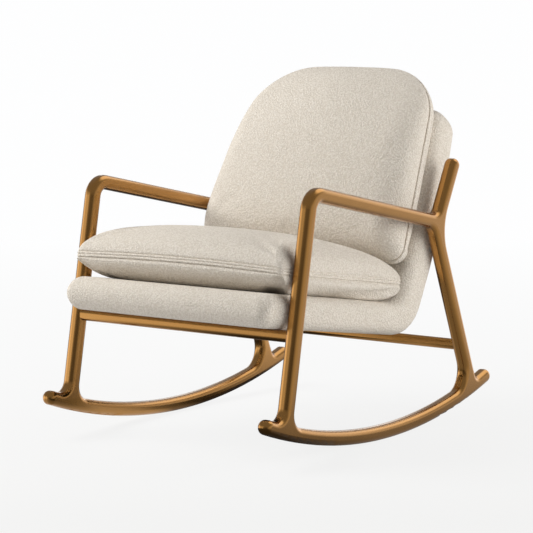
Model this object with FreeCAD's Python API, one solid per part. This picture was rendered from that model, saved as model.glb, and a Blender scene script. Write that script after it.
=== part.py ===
import FreeCAD, Part
import math
import os
from FreeCAD import Vector

# Upholstered rocking chair: two bent metal side frames on rockers, two cross rails,
# an upholstered seat-and-back shell, a loose seat cushion and a loose back cushion.
# Millimetres and degrees. +Z is up, the chair faces -Y, and the origin lies on the floor
# midway between the two rockers and midway between their front and rear tips.

# Side frame bars
FRAME_SPACING = 603.0       # between the middle planes of the two side frames
BAR = 33.0                  # depth and thickness of every frame bar
BAR_ROUND = 13.0            # rounding along the bar's long edges
ROCKER_RADIUS = 1440.0      # underside of the rocker
ROCKER_LENGTH = 934.0       # from tip to tip
ROCKER_LOW = 20.0           # where the rockers touch the floor, behind the origin
FRONT_FOOT = 386.5          # where the leg's axis meets the rocker's centreline, ahead of the origin
REAR_FOOT = 389.5           # the same behind the origin
FRONT_LEG_LEAN = 10.8       # backwards, going up
REAR_LEG_LEAN = 23.2        # forwards, going up
FRONT_TOE_ROUND = 27.0      # between the front leg and the rocker's front tip
FRONT_HEEL_ROUND = 33.0     # between the front leg and the rocker behind it
REAR_HEEL_ROUND = 48.0      # between the rear leg and the rocker ahead of it
REAR_TOE_ROUND = 14.0       # between the rear leg and the rocker's rear tip
ELBOW_HEIGHT = 581.0        # where the arm's axis meets the front leg's axis
ELBOW_ROUND = 35.0          # bend of the bar's axis from leg to arm
ARM_FALL = 11.3             # the arm falls towards the rear
STUB_FOOT_HEIGHT = 461.5    # where the back stub's axis leaves the rear leg's axis
STUB_LEAN = 27.7            # backwards, going up
STUB_LENGTH = 180.0         # along its axis, to the round end
STUB_CROOK_ROUND = 28.0     # between the arm's top and the stub
ARM_CROOK_ROUND = 42.0      # between the arm's underside and the rear leg
NAPE_ROUND = 110.0          # behind the bend from rear leg to stub

# Hidden joints of the frame
LEG_JOINT = 78.0            # from the rocker's centreline to the leg joint
ARM_JOINT = 60.0            # from the rear leg's axis to the arm joint
DOWEL = 12.0                # diameter
DOWEL_DEPTH = 18.0          # into each bar
PIN_CLEARANCE = 0.1         # round every dowel, spigot, pin and bolt
RAIL = 26.0                 # depth and thickness of the cross rails
RAIL_ROUND = 10.0
SPIGOT = 12.0               # diameter
SPIGOT_IN_LEG = 16.0        # depth of the blind socket in the leg
SPIGOT_IN_RAIL = 45.0       # measured from the leg's inner face
SET_SCREW = 6.0             # diameter
SET_SCREW_INSET = 25.0      # from the leg's inner face

# Upholstered shell
SEAT_SLOPE = 8.5            # the seat falls towards the rear
UNDERSIDE_HEIGHT = 237.5    # of the shell's underside plane, straight above the origin
SEAT_THICKNESS = 84.0
BACK_THICKNESS = 96.0
BACK_RECLINE = 27.7
BACK_FOOT = 175.0           # where the rear plane meets the underside plane, behind the origin
NOSE_REACH = 428.0          # front of the shell, ahead of the origin
SHELL_HEIGHT = 704.0        # top of the back's rear plane
NOSE_ROUND = 41.0
SHELL_TOP_ROUND = 46.0
SHELL_HEEL_ROUND = 110.0    # outside of the bend from seat to back
SHELL_LAP_ROUND = 40.0      # inside of that bend
SHELL_HALF_WIDTH = 282.0    # along the seat
SHELL_TOP_HALF_WIDTH = 236.0  # at the top of the back
SIDE_TURN_HEIGHT = 415.0    # where the sides start to lean inwards
SIDE_TURN_ROUND = 1200.0
SIDE_ROUND = 30.0
COVER = 2.0                 # fabric of the shell
SOFT_GAP = 0.3              # between curved soft faces
OVERSHOOT = 1.0             # of a cut beyond the face it opens
BOARD = 15.0                # moulded plywood
BOARD_HALF_WIDTH = 205.0
BOARD_EDGE = 32.0           # from the shell's nose and top to the board's edges
BOARD_BEND = 50.0           # middle of the board, from seat to back
BLOCK_WIDTH = 44.0          # hardwood block, outwards from the board's side edge
BLOCK_DEPTH = 44.0          # through the back's thickness
BLOCK_HEIGHT = 64.0         # along the back
BACK_PIN = 16.0             # diameter
BACK_PIN_HEIGHT = 410.0
BACK_PIN_IN_POST = 18.0
BACK_PIN_IN_BLOCK = 34.0
BOLT = 6.0                  # diameter
BOLT_SPACING = 150.0
BOLT_COUNT = 3
BOLT_HEAD = 11.0
BOLT_HEAD_HEIGHT = 4.0
BOLT_SINK = 7.0             # depth of the counterbore in the rail's underside
TEE_NUT_BARREL = 9.0
TEE_NUT_FLANGE = 20.0
TEE_NUT_FLANGE_THICKNESS = 1.6
DUST_COVER = 1.0
DUST_COVER_HALF_WIDTH = 225.0
DUST_COVER_FRONT = 320.0    # ahead of the origin
DUST_COVER_REAR = 80.0      # behind the origin

# Loose cushions
CUSHION_COVER = 2.5
CORE_GAP = 0.5
WELT = 8.0                  # height of the flat seam band
WELT_REACH = 3.0            # how far the band stands out
SEAM_EDGE = 10.0            # height of the cushion's edge at the seam
SHOULDER_RISE = 0.88        # share of the crown's rise at the shoulder
END_FILL = 0.03             # share of the crown's rise left at the cushion's ends
SEAT_CUSHION_FRONT = 384.0  # ahead of the origin
SEAT_CUSHION_LENGTH = 492.0
SEAT_CUSHION_HALF_WIDTH = 280.0
SEAT_CUSHION_DRAW = 8.0     # how far the sides pull in between the corners
SEAT_CUSHION_SEAM = 42.0    # above the shell's seat
SEAT_CUSHION_CROWN = 88.0   # above the seam
SEAT_CUSHION_POWER = 3.0    # fullness of its front and rear, above the seam
SEAT_CUSHION_UNDER_POWER = 8.0  # the same below the seam
SEAT_CUSHION_SHOULDER = 66.0  # from the seam to where the crown turns down
SEAT_CUSHION_SHOULDER_FADE = 1.0  # how fast the shoulder shrinks towards the front and the rear
SEAT_CUSHION_UNDER_ROUND = 48.0
BACK_CUSHION_FOOT = 84.0    # bottom seam, along the back from the shell's inner corner
BACK_CUSHION_LENGTH = 480.0
BACK_CUSHION_HALF_WIDTH = 276.0
BACK_CUSHION_TAPER = 4.6    # the sides lean inwards, going up
BACK_CUSHION_SEAM = 44.0    # ahead of the shell's back
BACK_CUSHION_CROWN = 109.0  # ahead of the seam
BACK_CUSHION_FOOT_POWER = 6.0  # fullness of its lower end, ahead of the seam
BACK_CUSHION_TOP_POWER = 2.2   # fullness of its upper end
BACK_CUSHION_UNDER_POWER = 4.5  # fullness of both ends behind the seam
BACK_CUSHION_SHOULDER = 52.0
BACK_CUSHION_SHOULDER_FADE = 0.0  # its shoulder keeps its width up to the ends
BACK_CUSHION_UNDER_ROUND = 26.0
BACK_CUSHION_TOP_ROUND = 118.0
BACK_CUSHION_FOOT_ROUND = 46.0
STATIONS = 10               # spans between the sections of a cushion
TOUCH = 1e-4                # points closer than this count as one

os.makedirs("parts", exist_ok=True)
ACROSS = Vector(1, 0, 0)


def spot(y, z):
    """A point of the chair's middle plane."""
    return Vector(0, y, z)


def heading(angle):
    """A direction in the middle plane, turned up from the rear."""
    return Vector(0, math.cos(math.radians(angle)), math.sin(math.radians(angle)))


def leftward(direction):
    """The direction a quarter turn anticlockwise, seen from the chair's right-hand side."""
    return Vector(0, -direction.z, direction.y)


def beside(line, distance):
    """A line moved sideways, to the left of its heading."""
    point, direction = line
    return point + leftward(direction) * distance, direction


def meeting(first, second):
    """Where two lines of the middle plane cross."""
    p, d = first
    q, e = second
    n = leftward(e)
    return p + d * ((q - p).dot(n) / d.dot(n))


def outline(corners):
    """A closed wire through corners of (point, radius), each corner an arc."""
    trims = []
    for i, (point, radius) in enumerate(corners):
        back = (corners[i - 1][0] - point).normalize()
        ahead = (corners[(i + 1) % len(corners)][0] - point).normalize()
        half = back.getAngle(ahead) / 2
        run = radius / math.tan(half)
        middle = point + (back + ahead).normalize() * (radius / math.sin(half) - radius)
        trims.append((point + back * run, middle, point + ahead * run, radius))
    edges = []
    for i, (start, middle, end, radius) in enumerate(trims):
        if radius > 0:
            edges.append(Part.Arc(start, middle, end).toShape())
        following = trims[(i + 1) % len(trims)][0]
        if end.distanceToPoint(following) > TOUCH:
            edges.append(Part.makeLine(end, following))
    return Part.Wire(edges)


def slab(wire, middle, thickness):
    """A wire of the middle plane made solid across the chair, about x = middle."""
    face = Part.Face(wire)
    face.translate(ACROSS * (middle - thickness / 2))
    return face.extrude(ACROSS * thickness)


def rod(start, end, diameter):
    """A round rod between two points."""
    run = end - start
    return Part.makeCylinder(diameter / 2, run.Length, start, run)


def bore(start, end, diameter):
    """The hole for a rod, with its clearance."""
    return rod(start, end, diameter + 2 * PIN_CLEARANCE)


def mirrored(shape):
    """The same piece on the other side of the chair."""
    return shape.mirror(Vector(0, 0, 0), ACROSS)


def group(shapes):
    """Separate solids that share one node."""
    return Part.makeCompound([solid for shape in shapes for solid in shape.Solids])


def export(name, shape):
    shape.exportStep("parts/" + name + ".step")
    kinds = len(shape.Solids)
    print(name, "solids", kinds, "valid", shape.isValid(), "volume", round(shape.Volume))


# Axes of the side frame
side = FRAME_SPACING / 2
inner = side - BAR / 2
half_bar = BAR / 2
centre_radius = ROCKER_RADIUS - half_bar


def on_rocker(radius, angle):
    """A point at a radius from the centre that the rocker rolls about."""
    return spot(ROCKER_LOW + radius * math.sin(angle), ROCKER_RADIUS - radius * math.cos(angle))


def rocker_angle(y):
    """The angle at that centre of a point of the rocker's centreline."""
    return math.asin((y - ROCKER_LOW) / centre_radius)


front_leg = (on_rocker(centre_radius, rocker_angle(-FRONT_FOOT)), heading(90 - FRONT_LEG_LEAN))
rear_leg = (on_rocker(centre_radius, rocker_angle(REAR_FOOT)), heading(90 + REAR_LEG_LEAN))


def at_height(line, height):
    """The point of a line at a height above the floor."""
    point, direction = line
    return point + direction * ((height - point.z) / direction.z)


arm = (at_height(front_leg, ELBOW_HEIGHT), heading(-ARM_FALL))
stub = (at_height(rear_leg, STUB_FOOT_HEIGHT), heading(90 - STUB_LEAN))
front_leg_joint = front_leg[0] + front_leg[1] * LEG_JOINT
rear_leg_joint = rear_leg[0] + rear_leg[1] * LEG_JOINT
arm_joint = meeting(arm, rear_leg) - arm[1] * ARM_JOINT


def round_bar(solid, joints):
    """Rounds the long edges of a bar, and leaves the flat faces at its joints square."""
    chosen = []
    for edge in solid.Edges:
        box = edge.BoundBox
        middle = edge.valueAt((edge.FirstParameter + edge.LastParameter) / 2)
        on_joint = any(abs((middle - point).dot(way)) < TOUCH for point, way in joints)
        if box.XLength < TOUCH and not on_joint:
            chosen.append(edge)
    return solid.makeFillet(BAR_ROUND, chosen)


def cross_edge(solid, point):
    """The edge across the bar that lies nearest to a point of the middle plane."""
    across = [edge for edge in solid.Edges if abs(edge.BoundBox.XLength - BAR) < TOUCH]

    def gap(edge):
        return spot(edge.Vertexes[0].Y, edge.Vertexes[0].Z).distanceToPoint(point)

    return min(across, key=gap)


def make_rocker():
    """Curved rocker with a round tip at each end and a short socket for each leg."""
    front = rocker_angle(half_bar - ROCKER_LENGTH / 2)
    rear = rocker_angle(ROCKER_LENGTH / 2 - half_bar)
    top_radius = ROCKER_RADIUS - BAR
    tip = half_bar / centre_radius
    band = Part.Wire([
        Part.Arc(on_rocker(ROCKER_RADIUS, front), on_rocker(ROCKER_RADIUS, 0),
                 on_rocker(ROCKER_RADIUS, rear)).toShape(),
        Part.Arc(on_rocker(ROCKER_RADIUS, rear), on_rocker(centre_radius, rear + tip),
                 on_rocker(top_radius, rear)).toShape(),
        Part.Arc(on_rocker(top_radius, rear), on_rocker(top_radius, 0),
                 on_rocker(top_radius, front)).toShape(),
        Part.Arc(on_rocker(top_radius, front), on_rocker(centre_radius, front - tip),
                 on_rocker(ROCKER_RADIUS, front)).toShape(),
    ])
    solid = slab(band, side, BAR)
    for foot, way in (front_leg, rear_leg):
        beam = leftward(way) * half_bar
        top = foot + way * LEG_JOINT
        socket = outline([(foot - beam, 0), (top - beam, 0), (top + beam, 0), (foot + beam, 0)])
        solid = solid.fuse(slab(socket, side, BAR))
    solid = solid.removeSplitter()
    rounds = [
        (front_leg, 1, FRONT_TOE_ROUND),
        (front_leg, -1, FRONT_HEEL_ROUND),
        (rear_leg, 1, REAR_HEEL_ROUND),
        (rear_leg, -1, REAR_TOE_ROUND),
    ]
    for leg, hand, radius in rounds:
        corner = leg[0] + leftward(leg[1]) * (hand * half_bar) + leg[1] * half_bar
        solid = solid.makeFillet(radius, [cross_edge(solid, corner)])
    return round_bar(solid, [(front_leg_joint, front_leg[1]), (rear_leg_joint, rear_leg[1])])


def joint_corner(joint, way, hand):
    """A corner of the square end of a bar, to the left (1) or right (-1) of its heading."""
    return joint + leftward(way) * (hand * half_bar)


def make_leg_and_arm():
    """Front leg and armrest: one bar, bent at the elbow."""
    wire = outline([
        (joint_corner(front_leg_joint, front_leg[1], 1), 0),
        (meeting(beside(front_leg, half_bar), beside(arm, half_bar)), ELBOW_ROUND + half_bar),
        (joint_corner(arm_joint, arm[1], 1), 0),
        (joint_corner(arm_joint, arm[1], -1), 0),
        (meeting(beside(front_leg, -half_bar), beside(arm, -half_bar)), ELBOW_ROUND - half_bar),
        (joint_corner(front_leg_joint, front_leg[1], -1), 0),
    ])
    return round_bar(slab(wire, side, BAR), [(front_leg_joint, front_leg[1]), (arm_joint, arm[1])])


def make_rear_post():
    """Rear leg with the back stub above it and a short branch for the arm."""
    stub_end = (stub[0] + stub[1] * STUB_LENGTH, leftward(stub[1]))
    wire = outline([
        (joint_corner(rear_leg_joint, rear_leg[1], 1), 0),
        (meeting(beside(rear_leg, half_bar), beside(arm, -half_bar)), ARM_CROOK_ROUND),
        (joint_corner(arm_joint, arm[1], -1), 0),
        (joint_corner(arm_joint, arm[1], 1), 0),
        (meeting(beside(arm, half_bar), beside(stub, half_bar)), STUB_CROOK_ROUND),
        (meeting(beside(stub, half_bar), stub_end), half_bar),
        (meeting(beside(stub, -half_bar), stub_end), half_bar),
        (meeting(beside(stub, -half_bar), beside(rear_leg, -half_bar)), NAPE_ROUND),
        (joint_corner(rear_leg_joint, rear_leg[1], -1), 0),
    ])
    return round_bar(slab(wire, side, BAR), [(rear_leg_joint, rear_leg[1]), (arm_joint, arm[1])])


# Planes of the shell, as lines of the middle plane
seat_way = heading(-SEAT_SLOPE)
seat_up = leftward(seat_way)
back_way = heading(90 - BACK_RECLINE)
back_front = leftward(back_way)
underside = (spot(0, UNDERSIDE_HEIGHT), seat_way)
shell_heel = underside[0] + seat_way * (BACK_FOOT / seat_way.y)
rear_plane = (shell_heel, back_way)
nose_middle = underside[0] + seat_up * (SEAT_THICKNESS / 2)
nose_plane = (nose_middle - seat_way * ((NOSE_REACH + nose_middle.y) / seat_way.y), seat_up)
top_plane = (at_height(rear_plane, SHELL_HEIGHT), back_front)
seat_top = beside(underside, SEAT_THICKNESS)
back_face = beside(rear_plane, BACK_THICKNESS)
lap = meeting(seat_top, back_face)


def ell(low, high, back_low, back_high, nose, top, rounds):
    """An L-shaped outline: distances from underside, rear plane, nose and top, with six roundings."""
    under = beside(underside, low)
    over = beside(underside, high)
    behind = beside(rear_plane, back_low)
    before = beside(rear_plane, back_high)
    front = beside(nose_plane, -nose)
    above = beside(top_plane, top)
    faces = [front, under, behind, above, before, over]
    corners = zip(faces, faces[1:] + faces[:1], rounds)
    return outline([(meeting(face, following), radius) for face, following, radius in corners])


def shell_form(inset):
    """The shell's soft outer form, drawn in all round by an inset."""
    nose = NOSE_ROUND - inset
    top = SHELL_TOP_ROUND - inset
    rounds = [nose, SHELL_HEEL_ROUND - inset, top, top, SHELL_LAP_ROUND + inset, nose]
    profile = ell(inset, SEAT_THICKNESS - inset, inset, BACK_THICKNESS - inset, inset, inset, rounds)
    depth = NOSE_REACH + ROCKER_LENGTH
    wide = SHELL_HALF_WIDTH - inset
    narrow = SHELL_TOP_HALF_WIDTH - inset
    front = -depth / 2
    sides = outline([
        (Vector(-wide, front, 0), 0),
        (Vector(wide, front, 0), 0),
        (Vector(wide, front, SIDE_TURN_HEIGHT), SIDE_TURN_ROUND),
        (Vector(narrow, front, SHELL_HEIGHT + BACK_THICKNESS), 0),
        (Vector(-narrow, front, SHELL_HEIGHT + BACK_THICKNESS), 0),
        (Vector(-wide, front, SIDE_TURN_HEIGHT), SIDE_TURN_ROUND),
    ])
    solid = slab(profile, 0, 4 * wide).common(Part.Face(sides).extrude(Vector(0, depth, 0)))
    chosen = []
    for edge in solid.Edges:
        middle = edge.valueAt((edge.FirstParameter + edge.LastParameter) / 2)
        off_profile = profile.distToShape(Part.Vertex(spot(middle.y, middle.z)))[0]
        if abs(middle.x) > narrow / 2 and off_profile < TOUCH:
            chosen.append(edge)
    return solid.makeFillet(SIDE_ROUND - inset, chosen)


def tangent_arc(start, way, end):
    """An arc that leaves start along a direction and ends at a point."""
    chord = end - start
    angle = way.getAngle(chord)
    bulge = way - chord * (way.dot(chord) / chord.dot(chord))
    middle = start + chord / 2 + bulge.normalize() * (chord.Length / 2 * math.tan(angle / 2))
    return Part.Arc(start, middle, end).toShape()


def pillow_section(centre, up, half_width, edge, rise, depth, turn_run, flat_run):
    """A cross-section of a cushion: crowned above its seam, flat with round sides below."""

    def point(x, height):
        return centre + ACROSS * x + up * height

    shoulder = half_width - turn_run
    flat = half_width - flat_run
    turn = point(shoulder, edge + rise * SHOULDER_RISE)
    far_turn = point(-shoulder, edge + rise * SHOULDER_RISE)
    crown = Part.Arc(far_turn, point(0, edge + rise), turn)
    fall = crown.tangent(crown.LastParameter)[0]
    far_fall = Vector(-fall.x, fall.y, fall.z)
    edges = [
        Part.makeLine(point(half_width, -edge), point(half_width, edge)),
        tangent_arc(turn, fall, point(half_width, edge)),
        crown.toShape(),
        tangent_arc(far_turn, far_fall, point(-half_width, edge)),
        Part.makeLine(point(-half_width, edge), point(-half_width, -edge)),
        tangent_arc(point(-flat, -edge - depth), -ACROSS, point(-half_width, -edge)),
        Part.makeLine(point(-flat, -edge - depth), point(flat, -edge - depth)),
        tangent_arc(point(flat, -edge - depth), ACROSS, point(half_width, -edge)),
    ]
    return Part.Wire(Part.__sortEdges__(edges))


def fullness(share, powers):
    """How far a cushion is filled at a share of its length, nearly 0 at its ends and 1 in the middle."""
    power = powers[0] if share < 0.5 else powers[1]
    return max(math.sqrt(1 - abs(2 * share - 1) ** power), END_FILL)


def stations(start, end):
    """Places along a cushion, closer together towards its ends."""
    for k in range(STATIONS + 1):
        share = (1 - math.cos(math.pi * k / STATIONS)) / 2
        yield share, start + (end - start) * share


def pillow(frame, sizes, grow):
    """A closed cushion, lofted through sections along its length and grown or drawn in all round."""
    place, way, up = frame
    wires = []
    for share, run in stations(-grow, sizes["length"] + grow):
        over = fullness(share, sizes["powers"])
        under = fullness(share, sizes["under_powers"])
        width = sizes["width_at"](run, grow)
        edge = SEAM_EDGE / 2 + grow
        rise = (sizes["crown"] - SEAM_EDGE / 2) * over
        depth = (sizes["seam"] - SOFT_GAP - SEAM_EDGE / 2) * under
        turn_run = sizes["shoulder"] * over ** sizes["shoulder_fade"]
        flat_run = sizes["under_round"] * under
        wires.append(pillow_section(place + way * run, up, width, edge, rise, depth, turn_run, flat_run))
    return Part.makeLoft(wires, True, False)


def welt_band(frame, sizes, body):
    """The flat seam band round a cushion, standing out from its edge."""
    place, way, up = frame
    wires = []
    rise = up * (WELT / 2)
    for share, run in stations(-WELT_REACH, sizes["length"] + WELT_REACH):
        centre = place + way * run
        reach = ACROSS * sizes["width_at"](run, WELT_REACH)
        ring = [centre - reach - rise, centre + reach - rise, centre + reach + rise, centre - reach + rise]
        wires.append(Part.makePolygon(ring + ring[:1]))
    return Part.makeLoft(wires, True, False).cut(body)


def seat_cushion_width(run, grow):
    """The seat cushion's half-width: its sides pull in between its corners."""
    share = min(max(run / SEAT_CUSHION_LENGTH, 0), 1)
    return SEAT_CUSHION_HALF_WIDTH + grow - SEAT_CUSHION_DRAW * (1 - (2 * share - 1) ** 2)


def back_cushion_width(run, grow):
    """The back cushion's half-width: tapered sides, small round corners below, large ones above."""
    taper = math.tan(math.radians(BACK_CUSHION_TAPER))
    low = BACK_CUSHION_FOOT_ROUND
    high = BACK_CUSHION_LENGTH - BACK_CUSHION_TOP_ROUND
    width = BACK_CUSHION_HALF_WIDTH + grow - run * taper
    if run < low:
        radius = BACK_CUSHION_FOOT_ROUND + grow
        width -= radius - math.sqrt(max(radius ** 2 - (low - run) ** 2, 0))
    if run > high:
        radius = BACK_CUSHION_TOP_ROUND + grow
        width -= radius - math.sqrt(max(radius ** 2 - (run - high) ** 2, 0))
    return width


def make_cushion(frame, sizes):
    """Cover, foam core and seam band of a loose cushion that rests on a plane below its seam."""
    form = pillow(frame, sizes, 0)
    cover = form.cut(pillow(frame, sizes, -CUSHION_COVER))
    core = pillow(frame, sizes, -CUSHION_COVER - CORE_GAP)
    return cover, core, welt_band(frame, sizes, form)


# Cross rails, coped to the rounded legs under the shell's underside plane
leg_and_arm = make_leg_and_arm()
rear_post = make_rear_post()
rail_line = beside(underside, -RAIL / 2)
front_rail_middle = meeting(front_leg, rail_line)
rear_rail_middle = meeting(rear_leg, rail_line)


def make_rail(middle, leg):
    """Round-edged cross rail between the two side frames, with a bore and a set screw hole at each end."""
    half = RAIL / 2
    along = seat_way * half
    above = seat_up * half
    corners = [middle - along - above, middle + along - above, middle + along + above, middle - along + above]
    rail = slab(outline([(corner, RAIL_ROUND) for corner in corners]), 0, FRAME_SPACING)
    rail = rail.cut(leg).cut(mirrored(leg))
    spigots = []
    screws = []
    for hand in (1, -1):
        start = middle + ACROSS * (hand * (inner + SPIGOT_IN_LEG))
        end = middle + ACROSS * (hand * (inner - SPIGOT_IN_RAIL))
        spigots.append(rod(start, end, SPIGOT))
        rail = rail.cut(bore(start, end, SPIGOT))
        place = middle + ACROSS * (hand * (inner - SET_SCREW_INSET))
        ends = (place - seat_up * (SPIGOT / 2 + PIN_CLEARANCE), place - seat_up * half)
        screws.append(rod(ends[0], ends[1], SET_SCREW))
        rail = rail.cut(bore(place, ends[1] - seat_up * OVERSHOOT, SET_SCREW))
    return rail, spigots, screws


front_rail, front_spigots, front_screws = make_rail(front_rail_middle, leg_and_arm)
rear_rail, rear_spigots, rear_screws = make_rail(rear_rail_middle, rear_post)

# Bolts up through the front rail into tee nuts in the shell's board
board_low = (SEAT_THICKNESS - BOARD) / 2
board_back_low = (BACK_THICKNESS - BOARD) / 2
board_top = RAIL / 2 + board_low + BOARD
bolts = []
bolt_holes = []
tee_nuts = []
for k in range(BOLT_COUNT):
    middle = front_rail_middle + ACROSS * ((k - (BOLT_COUNT - 1) / 2) * BOLT_SPACING)
    sink = middle - seat_up * (RAIL / 2 - BOLT_SINK)
    tip = middle + seat_up * board_top
    head = rod(sink - seat_up * BOLT_HEAD_HEIGHT, sink, BOLT_HEAD)
    bolts.append(head.fuse(rod(sink, tip, BOLT)))
    bolt_holes.append(bore(sink, tip, BOLT).fuse(bore(sink - seat_up * RAIL, sink, BOLT_HEAD)))
    barrel = rod(tip - seat_up * BOARD, tip, TEE_NUT_BARREL)
    flange = rod(tip, tip + seat_up * TEE_NUT_FLANGE_THICKNESS, TEE_NUT_FLANGE)
    tee_nuts.append(barrel.fuse(flange).cut(bore(tip - seat_up * BOARD, tip, BOLT)))
bolt_cut = group(bolt_holes)
tee_cut = group([nut.fuse(hole) for nut, hole in zip(tee_nuts, bolt_holes)])
front_rail = front_rail.cut(bolt_cut)

# Pins that carry the shell's back between the two rear posts, and the blocks that hold them
pin_middle = at_height(rear_leg, BACK_PIN_HEIGHT)
block_start = BOARD_HALF_WIDTH
pins = []
pin_holes = []
blocks = []
for hand in (1, -1):
    outer_end = pin_middle + ACROSS * (hand * (inner + BACK_PIN_IN_POST))
    inner_end = pin_middle + ACROSS * (hand * (block_start + BLOCK_WIDTH - BACK_PIN_IN_BLOCK))
    pins.append(rod(outer_end, inner_end, BACK_PIN))
    pin_holes.append(bore(outer_end, inner_end, BACK_PIN))
    half_depth = back_front * (BLOCK_DEPTH / 2)
    half_height = back_way * (BLOCK_HEIGHT / 2)
    ring = [pin_middle - half_depth - half_height, pin_middle + half_depth - half_height,
            pin_middle + half_depth + half_height, pin_middle - half_depth + half_height]
    wire = Part.makePolygon(ring + ring[:1])
    blocks.append(slab(wire, hand * (block_start + BLOCK_WIDTH / 2), BLOCK_WIDTH))
pin_cut = group(pin_holes)
block_cut = group(blocks)

# Frame pieces, drilled for what joins them
spigot_holes = []
for middle in (front_rail_middle, rear_rail_middle):
    ends = [middle + ACROSS * (inner + reach) for reach in (-SPIGOT_IN_RAIL, SPIGOT_IN_LEG)]
    spigot_holes.append(bore(ends[0], ends[1], SPIGOT))
spigot_cut = group(spigot_holes)
dowels = []
dowel_holes = []
for joint, way in ((front_leg_joint, front_leg[1]), (rear_leg_joint, rear_leg[1]), (arm_joint, arm[1])):
    ends = [joint + ACROSS * side + way * reach for reach in (-DOWEL_DEPTH, DOWEL_DEPTH)]
    dowels.append(rod(ends[0], ends[1], DOWEL))
    dowel_holes.append(bore(ends[0], ends[1], DOWEL))
dowel_cut = group(dowel_holes)
frame_cut = [dowel_cut, spigot_cut, pin_cut]
for name, piece in (("rocker", make_rocker()), ("leg_and_arm", leg_and_arm), ("rear_post", rear_post)):
    drilled = piece.cut(frame_cut)
    export("right_" + name, drilled)
    export("left_" + name, mirrored(drilled))
leg_dowels = dowels[:2]
arm_dowels = dowels[2:]
export("leg_dowels", group(leg_dowels + [mirrored(dowel) for dowel in leg_dowels]))
export("arm_dowels", group(arm_dowels + [mirrored(dowel) for dowel in arm_dowels]))
export("front_rail", front_rail)
export("rear_rail", rear_rail)
export("rail_spigots", group(front_spigots + rear_spigots))
export("rail_set_screws", group(front_screws + rear_screws))

# Shell pieces
board_outer = BOARD_BEND + BOARD / 2
board_inner = BOARD_BEND - BOARD / 2
board_wire = ell(board_low, board_low + BOARD, board_back_low, board_back_low + BOARD, BOARD_EDGE, BOARD_EDGE,
                 [0, board_outer, 0, 0, board_inner, 0])
board_form = slab(board_wire, 0, 2 * BOARD_HALF_WIDTH)
board = board_form.cut(tee_cut)
foam = shell_form(COVER + SOFT_GAP).cut([board_form, block_cut, pin_cut, tee_cut])
beyond = -2 * SEAT_THICKNESS
front_side = ell(SEAT_THICKNESS / 2, SHELL_HEIGHT, BACK_THICKNESS / 2, SHELL_HEIGHT, beyond, beyond,
                 [0, BOARD_BEND, 0, 0, 0, 0])
front_region = slab(front_side, 0, 2 * FRAME_SPACING)
cover = shell_form(0).cut([shell_form(COVER), pin_cut, bolt_cut])
export("shell_board", board)
export("shell_side_blocks", group([block.cut(pin_cut) for block in blocks]))
export("shell_pins", group(pins))
export("shell_front_foam", foam.common(front_region))
export("shell_rear_foam", foam.cut(front_region))
export("shell_cover", cover)
export("shell_bolts", group(bolts))
export("shell_tee_nuts", group(tee_nuts))
dust_ends = [underside[0] + seat_way * (run / seat_way.y) for run in (-DUST_COVER_FRONT, DUST_COVER_REAR)]
dust_drop = seat_up * DUST_COVER
dust_ring = [dust_ends[0], dust_ends[1], dust_ends[1] - dust_drop, dust_ends[0] - dust_drop]
export("shell_dust_cover", slab(Part.makePolygon(dust_ring + dust_ring[:1]), 0, 2 * DUST_COVER_HALF_WIDTH))

# Loose cushions
seat_place = seat_top[0] + seat_up * SEAT_CUSHION_SEAM
seat_place = seat_place - seat_way * ((SEAT_CUSHION_FRONT + seat_place.y) / seat_way.y)
seat_sizes = {
    "length": SEAT_CUSHION_LENGTH, "width_at": seat_cushion_width, "crown": SEAT_CUSHION_CROWN,
    "seam": SEAT_CUSHION_SEAM, "shoulder": SEAT_CUSHION_SHOULDER, "under_round": SEAT_CUSHION_UNDER_ROUND,
    "shoulder_fade": SEAT_CUSHION_SHOULDER_FADE,
    "powers": (SEAT_CUSHION_POWER, SEAT_CUSHION_POWER),
    "under_powers": (SEAT_CUSHION_UNDER_POWER, SEAT_CUSHION_UNDER_POWER),
}
seat_pieces = make_cushion((seat_place, seat_way, seat_up), seat_sizes)
back_place = lap + back_way * BACK_CUSHION_FOOT + back_front * BACK_CUSHION_SEAM
back_sizes = {
    "length": BACK_CUSHION_LENGTH, "width_at": back_cushion_width, "crown": BACK_CUSHION_CROWN,
    "seam": BACK_CUSHION_SEAM, "shoulder": BACK_CUSHION_SHOULDER, "under_round": BACK_CUSHION_UNDER_ROUND,
    "shoulder_fade": BACK_CUSHION_SHOULDER_FADE,
    "powers": (BACK_CUSHION_FOOT_POWER, BACK_CUSHION_TOP_POWER),
    "under_powers": (BACK_CUSHION_UNDER_POWER, BACK_CUSHION_UNDER_POWER),
}
back_pieces = make_cushion((back_place, back_way, back_front), back_sizes)
for name, pieces in (("seat_cushion", seat_pieces), ("back_cushion", back_pieces)):
    for kind, piece in zip(("cover", "core", "welt"), pieces):
        export(name + "_" + kind, piece)
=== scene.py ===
import math

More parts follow.
